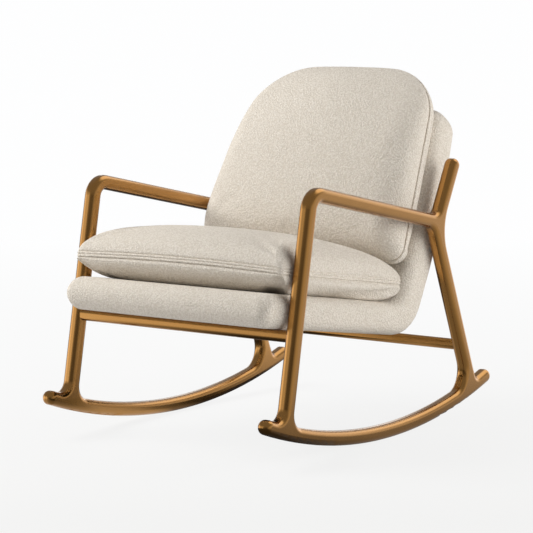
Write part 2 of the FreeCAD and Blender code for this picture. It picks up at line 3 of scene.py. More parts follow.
import bpy
import numpy as np
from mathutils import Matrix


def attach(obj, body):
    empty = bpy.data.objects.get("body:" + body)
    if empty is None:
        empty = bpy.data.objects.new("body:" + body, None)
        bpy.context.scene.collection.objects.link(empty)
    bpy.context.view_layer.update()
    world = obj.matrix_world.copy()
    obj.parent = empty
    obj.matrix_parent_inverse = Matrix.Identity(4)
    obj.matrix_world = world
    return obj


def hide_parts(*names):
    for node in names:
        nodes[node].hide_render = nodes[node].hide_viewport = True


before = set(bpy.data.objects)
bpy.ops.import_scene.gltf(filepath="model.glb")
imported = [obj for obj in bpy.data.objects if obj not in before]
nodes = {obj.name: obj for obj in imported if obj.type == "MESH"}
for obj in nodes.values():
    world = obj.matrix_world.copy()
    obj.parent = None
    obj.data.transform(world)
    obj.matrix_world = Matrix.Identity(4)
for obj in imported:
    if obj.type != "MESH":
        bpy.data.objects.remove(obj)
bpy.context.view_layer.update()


# Side frames: two rockers, two bars bent into front leg and armrest, and two rear posts.
# Metal bar of 33 mm with wide round edges, bent and welded, ground smooth at the joints
# and lacquered in satin bronze. The solids have the true shape, so they stay and get the finish.
class Value:
    """One value in a finish. Arithmetic on it adds Math nodes to the finish's node tree."""

    def __init__(self, finish, socket):
        self.finish = finish
        self.socket = socket

    def math(self, operation, first, second):
        return self.finish.node("ShaderNodeMath", {"operation": operation}, {0: first, 1: second})

    def __add__(self, other):
        return self.math("ADD", self, other)

    def __radd__(self, other):
        return self.math("ADD", other, self)

    def __sub__(self, other):
        return self.math("SUBTRACT", self, other)

    def __rsub__(self, other):
        return self.math("SUBTRACT", other, self)

    def __mul__(self, other):
        return self.math("MULTIPLY", self, other)

    def __rmul__(self, other):
        return self.math("MULTIPLY", other, self)

    def __truediv__(self, other):
        return self.math("DIVIDE", self, other)

    def __rtruediv__(self, other):
        return self.math("DIVIDE", other, self)


class Finish:
    """A node tree under construction: node() adds one node, sets it up and links its sockets."""

    def __init__(self, tree):
        self.tree = tree
        tree.nodes.clear()

    def node(self, kind, settings, values, out=0):
        made = self.tree.nodes.new(kind)
        for key, setting in settings.items():
            setattr(made, key, setting)
        for key, value in values.items():
            if isinstance(value, Value):
                self.tree.links.new(value.socket, made.inputs[key])
            else:
                made.inputs[key].default_value = value
        return Value(self, made.outputs[out]) if made.outputs else made

    def place(self):
        return self.node("ShaderNodeTexCoord", {}, {}, out="Object")

    def blend(self, share, low, high):
        """A colour between two colours."""
        return self.node("ShaderNodeMix", {"data_type": "RGBA"}, {0: share, 6: low, 7: high}, out=2)

    def noise(self, place, scale, detail=2.0, roughness=0.5):
        values = {"Vector": place, "Scale": scale, "Detail": detail, "Roughness": roughness}
        return self.node("ShaderNodeTexNoise", {}, values)

    def spread(self, value, low, high, new_low=0.0, new_high=1.0):
        """A value's range carried over to another range, with its ends clamped."""
        values = {0: value, 1: low, 2: high, 3: new_low, 4: new_high}
        return self.node("ShaderNodeMapRange", {"clamp": True}, values)

    def bump(self, height, strength, distance):
        values = {"Strength": strength, "Distance": distance, "Height": height}
        return self.node("ShaderNodeBump", {}, values)

    def dot(self, vector, way):
        """How far a vector goes along a direction."""
        values = {0: vector, 1: way}
        return self.node("ShaderNodeVectorMath", {"operation": "DOT_PRODUCT"}, values, out="Value")

    def ray(self, kind):
        return self.node("ShaderNodeLightPath", {}, {}, out=kind)

    def surface(self, values):
        shader = self.node("ShaderNodeBsdfPrincipled", {}, values)
        self.node("ShaderNodeOutputMaterial", {}, {"Surface": shader})


def new_material(name):
    material = bpy.data.materials.new(name)
    material.use_nodes = True
    return material, Finish(material.node_tree)


NOISE_SPAN = (0.3, 0.7)  # where most of a noise lies
BRONZE_DARK = (0.44, 0.207, 0.040, 1)
BRONZE_LIGHT = (0.49, 0.235, 0.050, 1)
BRONZE_ROUGHNESS = (0.19, 0.27)
CLOUDS_PER_M = 9.0
GRAIN_PER_M = 900.0


def satin_bronze():
    """Bronze lacquer on metal: a warm brown that shifts a little along the bar, with fine polishing
    marks and a soft gloss that changes slightly from place to place."""
    material, f = new_material("satin_bronze")
    place = f.place()
    cloud = f.noise(place, CLOUDS_PER_M, 3.0)
    grain = f.noise(place, GRAIN_PER_M, 2.0)
    colour = f.blend(f.spread(cloud, *NOISE_SPAN), BRONZE_DARK, BRONZE_LIGHT)
    gloss = f.spread(cloud * 0.6 + grain * 0.4, *NOISE_SPAN, *BRONZE_ROUGHNESS)
    f.surface({"Base Color": colour, "Metallic": 1.0, "Roughness": gloss,
               "Normal": f.bump(grain, 0.02, 0.0002),
               "Coat Weight": 0.6, "Coat IOR": 1.5, "Coat Roughness": 0.12})
    return material


def dress(names, material):
    """Gives a finish to CAD nodes that stay."""
    for name in names:
        piece = nodes[name]
        piece.data.materials.clear()
        piece.data.materials.append(material)


bronze = satin_bronze()
SIDE_FRAME = ("rocker", "leg_and_arm", "rear_post")
dress([side + "_" + bar for side in ("right", "left") for bar in SIDE_FRAME], bronze)


# Cross rails: two bars between the side frames, under the seat, coped to the legs.
# Same metal and lacquer as the side frames.
dress(["front_rail", "rear_rail"], bronze)


# Fixings: steel dowels, spigots, set screws, pins, bolts and tee nuts, zinc plated.
# They sit inside the bars, the rails and the shell. Only the screw ends under the rails show, and the
# pins, in the narrow gaps between the rear posts and the shell.
ZINC_DARK = (0.50, 0.50, 0.51, 1)
ZINC_LIGHT = (0.66, 0.66, 0.67, 1)
ZINC_ROUGHNESS = (0.32, 0.46)


def zinc_plate():
    """Zinc on steel: cool grey with cloudy patches."""
    material, f = new_material("zinc_plate")
    patches = f.noise(f.place(), 300.0, 3.0)
    gloss = f.spread(patches, *NOISE_SPAN, *ZINC_ROUGHNESS)
    f.surface({"Base Color": f.blend(patches, ZINC_DARK, ZINC_LIGHT), "Metallic": 1.0, "Roughness": gloss})
    return material


dress(["leg_dowels", "arm_dowels", "rail_spigots", "rail_set_screws", "shell_pins", "shell_bolts",
       "shell_tee_nuts"], zinc_plate())


# Board and blocks: a moulded plywood board carries the shell, with a beech block at each side
# for the pins of the rear posts. Both are hidden by the upholstery.
WOOD_DARK = (0.46, 0.31, 0.17, 1)
WOOD_LIGHT = (0.60, 0.44, 0.27, 1)
WOOD_STRETCH = (6.0, 60.0, 60.0)


def plain_wood():
    """Light wood: long growth lines from a stretched noise, with darker fibres."""
    material, f = new_material("plain_wood")
    along = f.node("ShaderNodeMapping", {}, {"Vector": f.place(), "Scale": WOOD_STRETCH})
    lines = f.noise(along, 2.0, 4.0, 0.6)
    colour = f.blend(f.spread(lines, *NOISE_SPAN), WOOD_DARK, WOOD_LIGHT)
    f.surface({"Base Color": colour, "Roughness": 0.6, "Normal": f.bump(lines, 0.2, 0.0004)})
    return material


dress(["shell_board", "shell_side_blocks"], plain_wood())


# Shell: the seat and back in one, foam on the moulded board, covered with cream cloth that is pulled
# tight round the nose, the top and the sides. It sits on the front rail and between the rear posts.
SHELL_SLOPE = math.radians(8.5)
SHELL_RECLINE = math.radians(27.7)
SHELL_UNDERSIDE = 0.2375
SHELL_SEAT = 0.0755
SHELL_BACK = 0.096
SHELL_HEEL = 0.175
SHELL_NOSE = 0.428
SHELL_TOP = 0.704
SHELL_HEEL_BEND = 0.102
SHELL_LAP_BEND = 0.040
SHELL_HALF = 0.282
SHELL_TURN = 0.415
SHELL_TURN_RUN = 0.071
SHELL_LEAN = 0.146
SHELL_EDGE = 0.030
SHELL_NOSE_CORNER = 0.024
SHELL_TOP_CORNER = 0.045
SHELL_BACK_CROWN = 0.006
CROWN_START = 0.30
CROWN_RUN = 0.20
CROWN_END = 0.15
BEND_STEPS = 26
CAP_STEPS = 16
RUN_STEPS = 72
EDGE_STEPS = 9
WIDTH_STEPS = 60
# The cloth's colour in the hollows between its nubs holds painted shade, darker and warmer than on the nubs.
CLOTH_HOLLOW_SHADE = (0.680, 0.612, 0.520)
CLOTH_NUB = (0.920, 0.862, 0.775)
NUBS_PER_M = 250.0
FUZZ_PER_M = 1200.0
MOTTLES_PER_M = 38.0
seat_way = np.array([0.0, math.cos(SHELL_SLOPE), -math.sin(SHELL_SLOPE)])
seat_up = np.array([0.0, math.sin(SHELL_SLOPE), math.cos(SHELL_SLOPE)])
back_way = np.array([0.0, math.sin(SHELL_RECLINE), math.cos(SHELL_RECLINE)])
back_front = np.array([0.0, -math.cos(SHELL_RECLINE), math.sin(SHELL_RECLINE)])


def cream_cloth(name, tone=1.0):
    """Cream nubby cloth: soft nubs in cells of about 4 mm, finer fuzz on them, and wide faint
    mottling. The hollows between the nubs are painted darker and warmer, as painted shade in them;
    the fuzz and the mottling are the cloth's own random tone."""
    material, f = new_material(name)
    place = f.place()
    drift = f.node("ShaderNodeTexNoise", {}, {"Vector": place, "Scale": 220.0, "Detail": 1.0}, out=1)
    push = f.node("ShaderNodeVectorMath", {"operation": "SCALE"}, {0: drift, "Scale": 0.004})
    warped = f.node("ShaderNodeVectorMath", {"operation": "ADD"}, {0: place, 1: push})
    cells = f.node("ShaderNodeTexVoronoi", {"feature": "SMOOTH_F1"},
                   {"Vector": warped, "Scale": NUBS_PER_M, "Smoothness": 0.3, "Randomness": 1.0})
    nub = f.spread(cells, 0.70, 0.10)
    fuzz = f.noise(place, FUZZ_PER_M, 2.0, 0.6)
    mottle = f.noise(place, MOTTLES_PER_M, 2.0)
    # Darker where the nubs sink: painted shade in the hollows, mixed with the random tone of the fuzz and the
    # mottling.
    share = f.spread(nub * 0.7 + fuzz * 0.25 + mottle * 0.15, 0.15, 0.95)
    low = [part * tone for part in CLOTH_HOLLOW_SHADE] + [1]
    high = [part * tone for part in CLOTH_NUB] + [1]
    f.surface({"Base Color": f.blend(share, low, high), "Roughness": 0.92,
               "Normal": f.bump(nub * 0.8 + fuzz * 0.25, 0.8, 0.0022),
               "Sheen Weight": 0.10, "Sheen Roughness": 0.5, "Specular IOR Level": 0.2})
    return material


def corner_cut(distance, radius):
    """How far a round corner draws a side in, at a distance from the end: the circle's sagitta."""
    reach = np.clip(radius - distance, 0.0, radius)
    return radius - np.sqrt(radius ** 2 - reach ** 2)


def crossing(p, d, q, e):
    """The point where the line from p along d meets the line from q along e, in the middle plane."""
    side = np.array([0.0, -e[2], e[1]])
    return p + d * ((q - p) @ side / (d @ side))


def turn(corner, way_in, way_out, radius, share):
    """Points on the arc of a given radius that rounds a corner, at shares of its angle."""
    angle = math.acos(way_in @ way_out)
    start = corner - way_in * (radius * math.tan(angle / 2))
    centre = start + np.array([0.0, -way_in[2], way_in[1]]) * radius
    spoke = start - centre
    across = np.array([0.0, -spoke[2], spoke[1]])
    a = share[:, None] * angle
    return centre + spoke * np.cos(a) + across * np.sin(a)


shell_origin = np.array([0.0, 0.0, SHELL_UNDERSIDE])
shell_heel = shell_origin + seat_way * (SHELL_HEEL / seat_way[1])
shell_lap = crossing(shell_origin + seat_up * SHELL_SEAT, seat_way,
                     shell_heel + back_front * SHELL_BACK, back_way)


def shell_sides():
    """The shell's two long faces as paired points: along the underside and up the rear plane, and
    along the seat and up the back's front, with half-round ends at the nose and the top."""
    nose_round = SHELL_SEAT / 2
    top_round = SHELL_BACK / 2
    middle = shell_origin + seat_up * nose_round
    tip = middle - seat_way * ((SHELL_NOSE + middle[1]) / seat_way[1])
    nose = tip + seat_way * nose_round
    rise = (SHELL_TOP - shell_heel[2]) / back_way[2]
    top = shell_heel + back_way * (rise - top_round) + back_front * top_round
    bend = np.linspace(0, 1, BEND_STEPS)
    heel_arc = turn(shell_heel, seat_way, back_way, SHELL_HEEL_BEND, bend)
    lap_arc = turn(shell_lap, seat_way, back_way, SHELL_LAP_BEND, bend)
    cap = np.radians(np.linspace(4, 90, CAP_STEPS))[:, None]
    straight = np.linspace(0, 1, RUN_STEPS)[1:-1, None]
    nose_in = nose - seat_way * nose_round * np.cos(cap)
    top_in = top + back_way * top_round * np.cos(cap[::-1])
    pair = []
    for hand, arc in ((-1, heel_arc), (1, lap_arc)):
        front = nose_in + hand * seat_up * nose_round * np.sin(cap)
        above = top_in + hand * back_front * top_round * np.sin(cap[::-1])
        seat = front[-1] + (arc[0] - front[-1]) * straight
        back = arc[-1] + (above[0] - arc[-1]) * straight
        pair.append(np.concatenate([front, seat, arc, back, above]))
    return pair[0], pair[1], tip, top + back_way * top_round


def shell_half_width(height):
    """Half the shell's width at a height: upright by the seat, then a parabola over the turn, then a
    straight lean inwards."""
    rise = np.clip(height - SHELL_TURN + SHELL_TURN_RUN, 0, None)
    bent = SHELL_LEAN * rise ** 2 / (4 * SHELL_TURN_RUN)
    return SHELL_HALF - np.where(rise < 2 * SHELL_TURN_RUN, bent, SHELL_LEAN * (rise - SHELL_TURN_RUN))


def new_piece(name, points, faces, material):
    """A smooth mesh piece from an array of points and a list of faces, turned to point outwards."""
    mesh = bpy.data.meshes.new(name)
    mesh.from_pydata(points.tolist(), [], faces)
    mesh.update()
    corners = np.array([points[list(face[:3])] for face in faces])
    if np.einsum("ij,ij->i", corners[:, 0], np.cross(corners[:, 1], corners[:, 2])).sum() < 0:
        mesh.flip_normals()
    mesh.polygons.foreach_set("use_smooth", np.ones(len(mesh.polygons), bool))
    mesh.materials.append(material)
    piece = bpy.data.objects.new(name, mesh)
    bpy.context.scene.collection.objects.link(piece)
    return piece


def ring_faces(stations, around):
    """Quads of a grid of rings, closed round each ring, and a strip of quads across each end ring."""
    index = np.arange(stations * around).reshape(stations, around)
    ahead = np.roll(index, -1, axis=1)
    faces = np.stack([index[:-1], ahead[:-1], ahead[1:], index[1:]], -1).reshape(-1, 4).tolist()
    half = around // 2
    for ring, hand in ((index[0], -1), (index[-1], 1)):
        for i in range(half):
            quad = [ring[i], ring[i + 1], ring[-i - 1], ring[-i] if i else ring[0]]
            loop = list(dict.fromkeys(int(v) for v in quad))
            faces.append(loop[::hand])
    return faces


def shell_surface():
    """The shell as rings: at each pair of points a rounded rectangle between them, its sides at the
    half-width of their height, drawn in at the nose's and the top's corners, its rear face crowned."""
    under, over, tip, top = shell_sides()
    thick = np.linalg.norm(over - under, axis=1)[:, None]
    radius = np.minimum(SHELL_EDGE, thick / 2)
    arc = np.radians(np.linspace(0, 90, EDGE_STEPS))
    flat = np.linspace(1, -1, WIDTH_STEPS + 2)[1:-1]
    across = np.concatenate([np.ones(EDGE_STEPS), flat, -np.ones(EDGE_STEPS)])
    swing = np.concatenate([np.cos(arc), np.zeros(WIDTH_STEPS), -np.cos(arc[::-1])])
    lift = np.concatenate([np.sin(arc), np.ones(WIDTH_STEPS), np.sin(arc[::-1])])
    upper = (thick / 2 - radius) + radius * lift
    full = np.concatenate([upper, -upper[:, -2:0:-1]], axis=1)
    across = np.concatenate([across, across[-2:0:-1]])
    swing = np.concatenate([swing, swing[-2:0:-1]])
    share = (full / thick + 0.5)[:, :, None]
    points = under[:, None, :] + (over - under)[:, None, :] * share
    half = shell_half_width(points[:, :, 2])
    middle = (under + over) / 2
    nose_run = ((middle - tip) @ seat_way)[:, None]
    top_run = ((top - middle) @ back_way)[:, None]
    half = half - corner_cut(nose_run, SHELL_NOSE_CORNER) - corner_cut(top_run, SHELL_TOP_CORNER)
    points[:, :, 0] = (half - radius) * across + radius * swing
    behind = np.clip((middle[:, 2:] - CROWN_START) / CROWN_RUN, 0, 1) * np.clip(top_run / CROWN_END, 0, 1)
    crown = SHELL_BACK_CROWN * behind * (1 - (points[:, :, 0] / SHELL_HALF) ** 2) * (full < 0)
    return points - crown[:, :, None] * back_front


cream = cream_cloth("cream_cloth")
shell_points = shell_surface()
shell_faces = ring_faces(*shell_points.shape[:2])
shell = new_piece("upholstered_shell", shell_points.reshape(-1, 3), shell_faces, cream)
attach(shell, "frame")
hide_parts("shell_cover", "shell_front_foam", "shell_rear_foam")


# Dust cloth: a thin black cloth stretched under the seat and stapled along its edges, so that the
# bolt ends and the board don't show from below. It sags a little between its edges.
DUST_HALF = 0.225
DUST_FRONT = 0.320
DUST_REAR = 0.080
DUST_THICK = 0.0008
DUST_SAG = 0.004
DUST_GAP = 0.0002
DUST_DARK = (0.012, 0.012, 0.013, 1)
DUST_LIGHT = (0.035, 0.035, 0.036, 1)


def dust_cloth():
    """Black non-woven cloth: flat fibres at random, matt."""
    material, f = new_material("dust_cloth")
    fibres = f.noise(f.place(), 700.0, 4.0, 0.7)
    colour = f.blend(f.spread(fibres, 0.35, 0.65), DUST_DARK, DUST_LIGHT)
    f.surface({"Base Color": colour, "Roughness": 0.95, "Normal": f.bump(fibres, 0.3, 0.0003)})
    return material


def rim_of(index):
    """The outer loop of a grid of vertex numbers."""
    return np.concatenate([index[0, :-1], index[:-1, -1], index[-1, :0:-1], index[:0:-1, 0]])


def two_layers(index):
    """Quads of a grid of vertex numbers, and of a second grid below it that faces the other way."""
    quads = np.stack([index[:-1, :-1], index[:-1, 1:], index[1:, 1:], index[1:, :-1]], -1).reshape(-1, 4)
    return [quads, quads[:, ::-1] + index.size]


def band(above, below):
    """Quads between two loops of vertex numbers."""
    return np.stack([above, below, np.roll(below, -1), np.roll(above, -1)], -1)


def dust_surface(rows=30, columns=32):
    """A rectangle under the seat that hangs down by a share of its sag: the product of two parabolas."""
    x = np.linspace(-DUST_HALF, DUST_HALF, columns)[None, :]
    run = np.linspace(-DUST_FRONT, DUST_REAR, rows)[:, None] / seat_way[1]
    share = np.linspace(-1, 1, rows)[:, None]
    sag = DUST_SAG * (1 - share ** 2) * (1 - (x / DUST_HALF) ** 2) + DUST_GAP
    layers = []
    for drop in (sag, sag + DUST_THICK):
        points = shell_origin + run[:, :, None] * seat_way - drop[:, :, None] * seat_up
        points[:, :, 0] += x
        layers.append(points.reshape(-1, 3))
    index = np.arange(rows * columns).reshape(rows, columns)
    rim = rim_of(index)
    faces = two_layers(index) + [band(rim, rim + index.size)]
    return np.concatenate(layers), np.concatenate(faces).tolist()


dust = new_piece("dust_cloth", *dust_surface(), dust_cloth())
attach(dust, "frame")
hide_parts("shell_dust_cover")


# Seat cushion: a loose knife-edge cushion of foam and wadding in a sewn cover of the same cloth.
# It lies on the shell's seat: crowned above, with sides that pull in a little between its corners.
END_FILL = 0.04
SHOULDER_RISE = 0.88
SHOULDER_SHARE = 0.66
PRESSURE = 3.0
STRETCH_STIFFNESS = 40.0
SHEAR_STIFFNESS = 15.0
BENDING_STIFFNESS = 10.0
SWELL_FRAMES = 14
SWELL_CAP = 0.009
SEAT_CUSHION = {
    "length": 0.488, "half": 0.2885, "taper": 0.0, "draw": 0.0165, "foot_round": 0.012, "top_round": 0.018,
    "flat_crown": 0.085, "crown": 0.091, "slump": 0.25, "seam": 0.0472, "powers": (3.0, 3.2),
    "under_powers": (14.0, 14.0), "shoulder": 0.062, "fade": 0.7, "under_round": 0.020, "edge": 0.0075,
    "recess": 0.0050, "bow": 0.0055, "pinch": (0.0, 0.0), "under_pinch": (0.8, 0.0), "corner": 0.030,
}
SEAT_CUSHION_FRONT = 0.376
SEAT_CUSHION_SEAM = 0.0475
BOW_RUN = 0.035


def cushion_half_width(run, sizes):
    """Half a cushion's width at a run along it: tapered, drawn in between its ends, round at its corners."""
    share = run / sizes["length"]
    half = sizes["half"] - run * math.tan(math.radians(sizes["taper"]))
    half = half - sizes["draw"] * (1 - (2 * share - 1) ** 2)
    return half - corner_cut(run, sizes["foot_round"]) - corner_cut(sizes["length"] - run, sizes["top_round"])


def fullness(share, powers):
    """How far a cushion is filled at a share of its length, nearly 0 at its ends and 1 in the middle: the
    square root of one less a power of the distance from the middle."""
    power = np.where(share < 0.5, powers[0], powers[1])
    return np.maximum(np.sqrt(1 - np.abs(2 * share - 1) ** power), END_FILL)


def panel(half, rise, inset, c):
    """Sections of a cushion's panel, from one seam to the other: a shallow crown between two shoulders,
    and from each shoulder an arc that is level there and ends at the seam. Returns x and height."""
    drop = rise * SHOULDER_RISE
    radius = (inset ** 2 + drop ** 2) / (2 * drop)
    sweep = np.arctan2(inset, radius - drop)
    reach = np.abs(c)[None, :]
    inner = np.clip(reach / SHOULDER_SHARE, 0, 1)
    angle = np.clip((reach - SHOULDER_SHARE) / (1 - SHOULDER_SHARE), 0, 1) * sweep
    x = np.sign(c)[None, :] * ((half - inset) * inner + radius * np.sin(angle))
    return x, drop - radius + radius * np.cos(angle) + (rise - drop) * (1 - inner ** 2)


def outward(path, up):
    """Unit vectors that point out of a closed path, at right angles to it and to a direction."""
    tangent = np.roll(path, -1, axis=0) - np.roll(path, 1, axis=0)
    side = np.cross(tangent, up)
    side /= np.linalg.norm(side, axis=1, keepdims=True)
    return side * np.sign(np.einsum("ij,ij->i", side, path - path.mean(axis=0)).sum())


def cushion_mesh(sizes, place, way, up, across=92, along=84, wall=4):
    """A closed cushion: an upper and a lower panel, and between their rims a narrow recessed wall. Near
    its corners each panel is pinched, by a bell curve of the distance from the corner. Along its
    two ends the seam bows up as a parabola, and the bow fades out by a bell curve along the cushion.
    Its sizes: half is half the width at its foot, draw how far its sides pull in, flat_crown and crown its
    height above the seam before and after it is filled, slump the share that this loses towards its top
    end, seam its depth below the seam, shoulder and under_round how far from the seam each panel turns,
    fade how fast the shoulder narrows towards the ends, edge half the wall's height, and the two values of
    powers, under_powers, pinch and under_pinch are for its foot and its top."""
    c = np.linspace(-1, 1, across)
    share = (1 - np.cos(np.pi * np.linspace(0, 1, along))) / 2
    run = (sizes["length"] * share)[:, None]
    half = cushion_half_width(run, sizes)
    over = (fullness(share, sizes["powers"]) * (1 - sizes["slump"] * share))[:, None]
    under = fullness(share, sizes["under_powers"])[:, None]
    rise = (sizes["flat_crown"] - sizes["edge"]) * over
    upper = panel(half, rise, sizes["shoulder"] * over ** sizes["fade"], c)
    depth = (sizes["seam"] - sizes["edge"]) * under
    lower = panel(half, depth, sizes["under_round"] * under, c)
    from_end = np.minimum(run, sizes["length"] - run)
    index = np.arange(across * along).reshape(along, across)
    rim = rim_of(index)
    layers = []
    for (x, height), hand, drawn in ((upper, 1, "pinch"), (lower, -1, "under_pinch")):
        near = np.exp(-((half - np.abs(x)) ** 2 + from_end ** 2) / sizes["corner"] ** 2)
        pinch = near * np.where(share < 0.5, *sizes[drawn])[:, None]
        bow = sizes["bow"] * np.exp(-(from_end / BOW_RUN) ** 2) * (1 - (x / half) ** 2)
        height = hand * (height * (1 - pinch) + sizes["edge"]) + bow
        points = place + run[:, :, None] * way + height[:, :, None] * up
        points[:, :, 0] += x
        layers.append(points.reshape(-1, 3))
    high = layers[0][rim]
    low = layers[1][rim]
    side = outward(high, up)
    loops = [rim]
    for k in range(1, wall):
        loops.append(np.arange(len(rim)) + 2 * index.size + (k - 1) * len(rim))
        inward = side * (sizes["recess"] * math.sin(math.pi * k / wall))
        layers.append(high + (low - high) * (k / wall) - inward)
    loops.append(rim + index.size)
    faces = two_layers(index) + [band(above, below) for above, below in zip(loops[:-1], loops[1:])]
    return np.concatenate(layers), np.concatenate(faces).tolist(), np.array(loops)


def coordinates(mesh):
    """A mesh's points as rows of x, y and z."""
    flat = np.empty(len(mesh.vertices) * 3)
    mesh.vertices.foreach_get("co", flat)
    return flat.reshape(-1, 3)


def swell(piece, seam):
    """Puffs a cushion out with Blender's cloth under inner pressure. The seam is held, and each point stays
    within a cap of where it started."""
    start = coordinates(piece.data)
    held = piece.vertex_groups.new(name="seam")
    held.add(seam.ravel().tolist(), 1.0, "REPLACE")
    cloth = piece.modifiers.new("swell", "CLOTH")
    cloth.settings.vertex_group_mass = held.name
    cloth.settings.use_pressure = True
    cloth.settings.uniform_pressure_force = PRESSURE
    cloth.settings.effector_weights.gravity = 0.0
    cloth.settings.tension_stiffness = STRETCH_STIFFNESS
    cloth.settings.compression_stiffness = STRETCH_STIFFNESS
    cloth.settings.shear_stiffness = SHEAR_STIFFNESS
    cloth.settings.bending_stiffness = BENDING_STIFFNESS
    cloth.point_cache.frame_start = 1
    cloth.point_cache.frame_end = SWELL_FRAMES
    for number in range(1, SWELL_FRAMES + 1):
        bpy.context.scene.frame_set(number)
    shaped = piece.evaluated_get(bpy.context.evaluated_depsgraph_get())
    moved = coordinates(shaped.data) - start
    piece.modifiers.remove(cloth)
    piece.vertex_groups.remove(held)
    bpy.context.scene.frame_set(1)
    length = np.linalg.norm(moved, axis=1, keepdims=True)
    return start + moved * np.minimum(1, SWELL_CAP / np.maximum(length, 1e-9))


def make_cushion(name, sizes, place, way, up):
    """A cushion puffed out by its filling to its crown, and no deeper below its seam than the face it
    lies on."""
    points, faces, seam = cushion_mesh(sizes, place, way, up)
    piece = new_piece(name, points, faces, cream)
    points = swell(piece, seam)
    height = (points - place) @ up
    grown = np.maximum(height, 0) * (sizes["crown"] / height.max() - 1)
    raised = np.maximum(-sizes["seam"] - height, 0)
    points = points + (grown + raised)[:, None] * up
    piece.data.vertices.foreach_set("co", points.ravel())
    piece.data.update()
    smooth = piece.modifiers.new("smooth", "SUBSURF")
    smooth.levels = 1
    smooth.render_levels = 1
    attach(piece, name)
    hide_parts(name + "_cover", name + "_core")
    return points[seam].mean(axis=0)


seat_seam = shell_origin + seat_up * (SHELL_SEAT + SEAT_CUSHION_SEAM)
seat_seam = seat_seam - seat_way * ((SEAT_CUSHION_FRONT + seat_seam[1]) / seat_way[1])
seat_rim = make_cushion("seat_cushion", SEAT_CUSHION, seat_seam, seat_way, seat_up)


# Seam of the seat cushion: its two panels are joined by a double seam, two narrow padded beads of the
# same cloth side by side, which run right round the cushion and stand out from it.
BEAD = 0.0026
BEAD_SPACING = 0.0064
BEAD_LIFT = 0.0012
BEAD_REACH = 0.0006
BEAD_ROOT = 0.0050


def bead_profile(count):
    """Beads side by side: arcs of a circle about evenly spaced centres, closed at the root.
    Returns the rise along the seam's height and the reach outwards."""
    swing = np.radians(np.linspace(-75, 75, 9))
    centres = (np.arange(count) - (count - 1) / 2) * BEAD_SPACING + BEAD_LIFT
    rise = (centres[:, None] + BEAD * np.sin(swing)).ravel()
    reach = np.tile(BEAD_REACH + BEAD * np.cos(swing), count)
    rise = np.concatenate([[rise[0]], rise, [rise[-1]]])
    return rise, np.concatenate([[-BEAD_ROOT], reach, [-BEAD_ROOT]])


def strip_faces(count, width):
    """Quads of a strip that closes on itself both ways."""
    index = np.arange(count * width).reshape(count, width)
    ahead = np.roll(index, -1, axis=0)
    quads = np.stack([index, np.roll(index, -1, axis=1), np.roll(ahead, -1, axis=1), ahead], -1)
    return quads.reshape(-1, 4).tolist()


def make_seam(name, body, rim, up, rise, reach):
    """A profile carried round a cushion's rim, after two rounds of averaging each point of the rim with
    its neighbours."""
    path = rim
    for _ in range(2):
        path = (np.roll(path, 1, axis=0) + 2 * path + np.roll(path, -1, axis=0)) / 4
    side = outward(path, up)
    points = path[:, None, :] + rise[None, :, None] * up + reach[None, :, None] * side[:, None, :]
    seam = new_piece(name, points.reshape(-1, 3), strip_faces(*points.shape[:2]), highlit_seam_cloth)
    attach(seam, body)
    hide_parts(body + "_welt")


# The seams' cloth is the cushion cloth painted 3% lighter: a painted highlight on the raised beads and strip.
SEAM_HIGHLIGHT_TONE = 1.03
highlit_seam_cloth = cream_cloth("highlit_seam_cloth", SEAM_HIGHLIGHT_TONE)
make_seam("seat_cushion_seam", "seat_cushion", seat_rim, seat_up, *bead_profile(2))


# Back cushion: a loose boxed cushion that leans on the shell's back and stands on the seat cushion,
# with large round corners above and small ones below. Same cloth and filling.
BACK_CUSHION = {
    "length": 0.491, "half": 0.2845, "taper": 5.3, "draw": 0.0, "foot_round": 0.038, "top_round": 0.128,
    "flat_crown": 0.102, "crown": 0.109, "slump": 0.0, "seam": 0.0437, "powers": (6.0, 2.1),
    "under_powers": (4.5, 4.5), "shoulder": 0.060, "fade": 0.0, "under_round": 0.032, "edge": 0.0085,
    "recess": 0.005, "bow": 0.0, "pinch": (0.0, 0.35), "under_pinch": (0.0, 0.0), "corner": 0.140,
}
BACK_CUSHION_FOOT = 0.0815
BACK_CUSHION_SEAM = 0.044
back_seam = shell_lap + back_way * BACK_CUSHION_FOOT + back_front * BACK_CUSHION_SEAM
back_rim = make_cushion("back_cushion", BACK_CUSHION, back_seam, back_way, back_front)


# Seam of the back cushion: one flat padded strip of the same cloth, sewn between its two panels all
# round its edge.
STRIP_FRONT = 0.0045
STRIP_REAR = -0.0070
STRIP_REACH = 0.0035
STRIP_ROUND = 0.0022


def strip_profile():
    """A flat strip with round edges: a rounded rectangle open towards the cushion."""
    swing = np.radians(np.linspace(0, 90, 6))
    round_rise = STRIP_ROUND * (np.sin(swing) - 1)
    round_reach = STRIP_REACH + STRIP_ROUND * (np.cos(swing) - 1)
    rear = STRIP_REAR - round_rise[::-1]
    rise = np.concatenate([[STRIP_REAR], rear, STRIP_FRONT + round_rise, [STRIP_FRONT]])
    return rise, np.concatenate([[-BEAD_ROOT], round_reach[::-1], round_reach, [-BEAD_ROOT]])


make_seam("back_cushion_seam", "back_cushion", back_rim, back_front, *strip_profile())


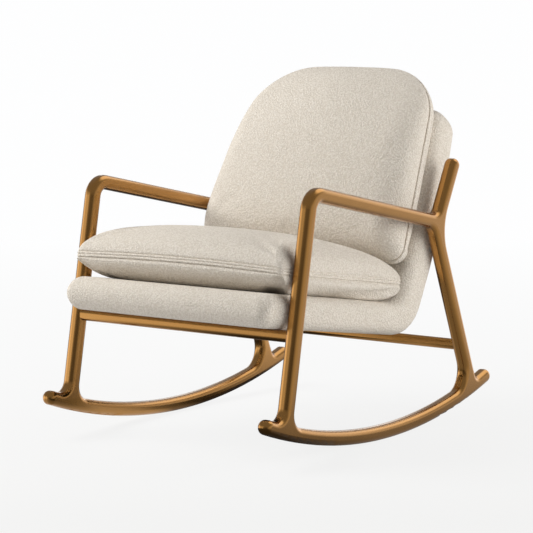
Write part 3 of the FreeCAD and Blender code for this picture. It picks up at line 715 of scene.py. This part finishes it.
# Studio: a pale floor that fades into a white room, a large soft lamp from the front left, a lower one
# from behind on the right, and the camera at the photograph's place. The metal mirrors the room only.
CAMERA_PLACE = (2.974, -4.152, 0.985)
CAMERA_YAW = math.radians(35.823)
CAMERA_PITCH = math.radians(6.824)
PHOTO_WIDTH = 533.0
FOCAL_PIXELS = 2200.0
view_way = (-math.sin(CAMERA_YAW), math.cos(CAMERA_YAW), 0.0)
WALL_DARK = 0.10
WALLS = ((-60, 52, 28, 0.50), (-60, 28, 12, 1.15), (118, 75, 20, 0.60), (180, 34, 20, 0.80))
TOP_TONE = 2.0
CEILING_TONE = 0.30
HORIZON_TONE = 1.25
PANEL_TONE = 1.35
PANEL_WAY = (0.207, 0.676, 0.707)
AMBIENT = (0.224, 0.224, 0.228, 1)
ROOM_WHITE = (0.990, 0.992, 0.995, 1)
FLOOR_NEAR = (0.925, 0.925, 0.919, 1)
FLOOR_GREY = (0.80, 0.80, 0.80, 1)
FLOOR_REACH = 400.0
FADE_FAR = 0.11
FADE_NEAR = 0.24
SHADOW_SHARE = 0.15
# Where and how far the floor's painted reflection is darkened by painted shade under the chair.
CHAIR_EDGE = 0.45
CHAIR_CLEAR = 1.3
CHAIR_SHADE = 0.45
LAMP_TARGET = np.array([0.0, 0.0, 0.45])


def wall_tones(finish, direction):
    """How light the studio's walls are in each direction round the chair, as the metal mirrors them: a dark
    front, a pale wall at each side, and a bright strip at the left and at the rear. Each wall has its
    azimuth, the half angles where it starts and where it is fully light, and its tone."""
    flat = finish.node("ShaderNodeVectorMath", {"operation": "MULTIPLY"}, {0: direction, 1: (1, 1, 0)})
    flat = finish.node("ShaderNodeVectorMath", {"operation": "NORMALIZE"}, {0: flat})
    tone = WALL_DARK
    for azimuth, start, end, light in WALLS:
        a = math.radians(azimuth)
        middle = (math.sin(a), -math.cos(a), 0.0)
        facing = finish.dot(flat, middle)
        edges = np.cos(np.radians([start, end])).tolist()
        tone = tone + finish.spread(facing, edges[0], edges[1], 0.0, light)
    return tone


def grey_light(finish, tone):
    """A grey of any tone up to the top one: black and the top grey mixed, since a mix ends at its second
    colour."""
    return finish.blend(tone * (1 / TOP_TONE), (0, 0, 0, 1), (TOP_TONE, TOP_TONE, TOP_TONE, 1))


# The floor gets a shade darker towards the front, as one over the distance, and keeps part of the chair's
# shadow. For the metal it glows with a painted reflection of the walls' tones, and with painted shade that
# makes it darker under the chair.
floor_mesh = bpy.data.meshes.new("floor")
floor_corners = np.array([(-1, -1, 0), (1, -1, 0), (1, 1, 0), (-1, 1, 0)]) * FLOOR_REACH
floor_mesh.from_pydata(floor_corners.tolist(), [], [(0, 1, 2, 3)])
floor = bpy.data.objects.new("floor", floor_mesh)
bpy.context.scene.collection.objects.link(floor)
floor_paint, f = new_material("floor_paint")
from_front = f.node("ShaderNodeVectorMath", {"operation": "SUBTRACT"}, {0: f.place(), 1: CAMERA_PLACE})
away = f.node("ShaderNodeMath", {"operation": "MAXIMUM"}, {0: f.dot(from_front, view_way), 1: 0.1})
fade = f.spread(1.0 / away, FADE_FAR, FADE_NEAR)
paint = f.blend(fade, ROOM_WHITE, FLOOR_NEAR)
far = f.node("ShaderNodeVectorMath", {"operation": "LENGTH"}, {0: f.place()}, out="Value")
# Painted reflection: the walls' tones on the floor, with painted shade near the chair.
mirror = wall_tones(f, f.place()) * f.spread(far, CHAIR_EDGE, CHAIR_CLEAR, CHAIR_SHADE, 1.0)
lit = f.node("ShaderNodeBsdfDiffuse", {}, {"Color": FLOOR_GREY})
glow = f.node("ShaderNodeEmission", {}, {"Color": paint, "Strength": 1.0})
sheen = f.node("ShaderNodeEmission", {}, {"Color": grey_light(f, mirror), "Strength": 1.0})
white_share = f.ray("Is Camera Ray") * (1.0 - fade * SHADOW_SHARE)
seen = f.node("ShaderNodeMixShader", {}, {0: white_share, 1: lit, 2: glow})
shown = f.node("ShaderNodeMixShader", {}, {0: f.ray("Is Glossy Ray"), 1: seen, 2: sheen})
f.node("ShaderNodeOutputMaterial", {}, {"Surface": shown})
floor_mesh.materials.append(floor_paint)

# The room is white behind the chair and gives an even soft light. In the metal it shows the walls, a dimmer
# ceiling with one bright panel, and a bright band low on the far wall.
world = bpy.data.worlds.new("room")
bpy.context.scene.world = world
world.use_nodes = True
room = Finish(world.node_tree)
toward = room.node("ShaderNodeTexCoord", {}, {}, out="Generated")
ahead = room.dot(toward, view_way)
upward = room.dot(toward, (0, 0, 1))
walls = wall_tones(room, toward)
over = room.spread(upward, 0.10, 0.40)
horizon = room.spread(ahead, 0.3, 0.85) * room.spread(upward, 0.36, 0.16) * room.spread(upward, 0.02, 0.12)
ceiling_panel = room.spread(room.dot(toward, PANEL_WAY), 0.85, 0.95, 0.0, PANEL_TONE)
tone = walls + (CEILING_TONE - walls) * over + horizon * HORIZON_TONE + ceiling_panel
soft = room.blend(room.ray("Is Glossy Ray"), AMBIENT, grey_light(room, tone))
backdrop = room.blend(room.ray("Is Camera Ray"), soft, ROOM_WHITE)
background = room.node("ShaderNodeBackground", {}, {"Color": backdrop, "Strength": 1.0})
room.node("ShaderNodeOutputWorld", {}, {"Surface": background})


def soft_lamp(name, azimuth, elevation, distance, width, height, energy, tint):
    """A large soft lamp that faces the chair and that the metal doesn't mirror. Azimuth 0 is the chair's
    front, 90 its right-hand side."""
    a = math.radians(azimuth)
    e = math.radians(elevation)
    lamp = bpy.data.lights.new(name, "AREA")
    lamp.shape = "RECTANGLE"
    lamp.size = width
    lamp.size_y = height
    lamp.energy = energy
    lamp.color = tint
    holder = bpy.data.objects.new(name, lamp)
    bpy.context.scene.collection.objects.link(holder)
    way = np.array([math.sin(a) * math.cos(e), -math.cos(a) * math.cos(e), math.sin(e)])
    holder.visible_glossy = False
    holder.location = LAMP_TARGET + way * distance
    holder.rotation_euler = (math.pi / 2 - e, 0.0, a)


soft_lamp("key_lamp", azimuth=-53, elevation=39, distance=3.4, width=2.2, height=2.2, energy=117.0,
          tint=(1.0, 0.995, 0.985))
soft_lamp("side_lamp", azimuth=113, elevation=12.5, distance=3.4, width=3.6, height=2.2, energy=88.0,
          tint=(1.0, 0.99, 0.975))

camera_data = bpy.data.cameras.new("camera")
camera_data.sensor_width = 36.0
camera_data.lens = FOCAL_PIXELS / PHOTO_WIDTH * camera_data.sensor_width
camera_data.clip_end = 2000.0
camera = bpy.data.objects.new("camera", camera_data)
camera.location = CAMERA_PLACE
camera.rotation_euler = (math.pi / 2 - CAMERA_PITCH, 0.0, CAMERA_YAW)
bpy.context.scene.collection.objects.link(camera)
bpy.context.scene.camera = camera
bpy.context.scene.view_settings.view_transform = "Standard"
